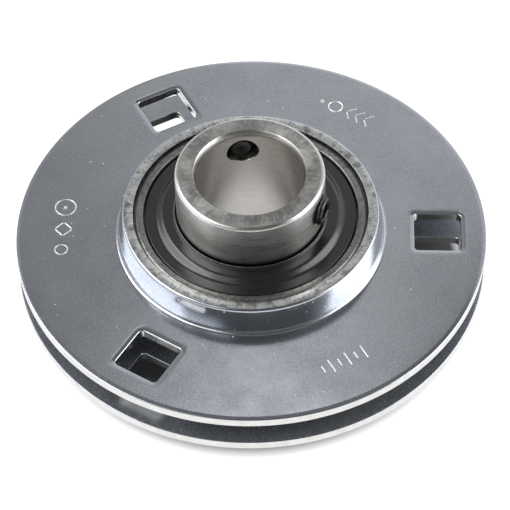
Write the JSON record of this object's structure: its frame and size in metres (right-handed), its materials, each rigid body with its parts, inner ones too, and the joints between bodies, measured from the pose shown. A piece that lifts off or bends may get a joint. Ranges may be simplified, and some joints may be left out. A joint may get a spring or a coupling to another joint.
{
  "type": "flange mount bearing",
  "caption": "Round flanged bearing unit: two pressed steel halves with square bolt holes around a sealed insert ball bearing with a long inner ring and grub screws.",
  "frame": {"origin": "centre of the bearing, on the shaft axis and in the plane where the two housing halves meet", "axes": "+Z along the shaft axis towards the grub screw end, +X through the centre of the first bolt hole"},
  "size_m": [0.09, 0.09, 0.031],
  "materials": {
    "zinc_sheet": "bright blue-white zinc plating on pressed sheet steel, satin with a fine grain",
    "ring_steel": "fine ground bearing steel, satin",
    "ground_steel": "ground bearing steel with bright chamfers",
    "ball_steel": "polished bearing steel",
    "cage_polyamide": "natural polyamide",
    "black_sheet": "glossy black coated sheet steel",
    "seal_rubber": "nitrile rubber, matt",
    "black_oxide": "black oxide on alloy steel"
  },
  "bodies": {
    "front_half": {"front_housing_half": "zinc_sheet"},
    "rear_half": {"rear_housing_half": "zinc_sheet"},
    "outer": {"outer_ring": "ring_steel", "front_seal_washer": "black_sheet", "rear_seal_washer": "black_sheet", "front_seal_lip": "seal_rubber", "rear_seal_lip": "seal_rubber"},
    "inner": {"inner_ring": "ground_steel", "front_flinger": "black_sheet", "rear_flinger": "black_sheet"},
    "cage": {"ball_cage": "cage_polyamide"},
    "screw_1": {"grub_screw_1": "black_oxide"},
    "screw_2": {"grub_screw_2": "black_oxide"},
    "ball_1": {"ball_1": "ball_steel"},
    "ball_2": {"ball_2": "ball_steel"},
    "ball_3": {"ball_3": "ball_steel"},
    "ball_4": {"ball_4": "ball_steel"},
    "ball_5": {"ball_5": "ball_steel"},
    "ball_6": {"ball_6": "ball_steel"},
    "ball_7": {"ball_7": "ball_steel"},
    "ball_8": {"ball_8": "ball_steel"}
  },
  "joints": [
    {"name": "insert_swivel", "type": "hinge", "parent": "front_half", "child": "outer", "pos_m": [0, 0, 0], "axis": [1, 0, 0], "range_deg": [-5, 5]},
    {"name": "rear_half_closing", "type": "slide", "parent": "front_half", "child": "rear_half", "axis": [0, 0, 1], "range_m": [0, 0.00506]},
    {"name": "inner_ring_spin", "type": "hinge", "parent": "outer", "child": "inner", "pos_m": [0, 0, 0], "axis": [0, 0, 1], "continuous": true},
    {"name": "cage_spin", "type": "hinge", "parent": "outer", "child": "cage", "pos_m": [0, 0, 0], "axis": [0, 0, 1], "continuous": true},
    {"name": "ball_1_spin", "type": "hinge", "parent": "cage", "child": "ball_1", "pos_m": [0.01547, 0.00641, 0], "axis": [0, 0, 1], "continuous": true},
    {"name": "ball_2_spin", "type": "hinge", "parent": "cage", "child": "ball_2", "pos_m": [0.00641, 0.01547, 0], "axis": [0, 0, 1], "continuous": true},
    {"name": "ball_3_spin", "type": "hinge", "parent": "cage", "child": "ball_3", "pos_m": [-0.00641, 0.01547, 0], "axis": [0, 0, 1], "continuous": true},
    {"name": "ball_4_spin", "type": "hinge", "parent": "cage", "child": "ball_4", "pos_m": [-0.01547, 0.00641, 0], "axis": [0, 0, 1], "continuous": true},
    {"name": "ball_5_spin", "type": "hinge", "parent": "cage", "child": "ball_5", "pos_m": [-0.01547, -0.00641, 0], "axis": [0, 0, 1], "continuous": true},
    {"name": "ball_6_spin", "type": "hinge", "parent": "cage", "child": "ball_6", "pos_m": [-0.00641, -0.01547, 0], "axis": [0, 0, 1], "continuous": true},
    {"name": "ball_7_spin", "type": "hinge", "parent": "cage", "child": "ball_7", "pos_m": [0.00641, -0.01547, 0], "axis": [0, 0, 1], "continuous": true},
    {"name": "ball_8_spin", "type": "hinge", "parent": "cage", "child": "ball_8", "pos_m": [0.01547, -0.00641, 0], "axis": [0, 0, 1], "continuous": true},
    {"name": "screw_1_travel", "type": "slide", "parent": "inner", "child": "screw_1", "axis": [-0.1736, 0.9848, 0], "range_m": [-0.0007, 0.0026]},
    {"name": "screw_2_travel", "type": "slide", "parent": "inner", "child": "screw_2", "axis": [0.9397, -0.342, 0], "range_m": [-0.0007, 0.0026]}
  ],
  "couplings": [
    {"joint": "cage_spin", "follows": "inner_ring_spin", "ratio": 0.38152},
    {"joint": "ball_1_spin", "follows": "inner_ring_spin", "ratio": -1.9916},
    {"joint": "ball_2_spin", "follows": "inner_ring_spin", "ratio": -1.9916},
    {"joint": "ball_3_spin", "follows": "inner_ring_spin", "ratio": -1.9916},
    {"joint": "ball_4_spin", "follows": "inner_ring_spin", "ratio": -1.9916},
    {"joint": "ball_5_spin", "follows": "inner_ring_spin", "ratio": -1.9916},
    {"joint": "ball_6_spin", "follows": "inner_ring_spin", "ratio": -1.9916},
    {"joint": "ball_7_spin", "follows": "inner_ring_spin", "ratio": -1.9916},
    {"joint": "ball_8_spin", "follows": "inner_ring_spin", "ratio": -1.9916}
  ]
}
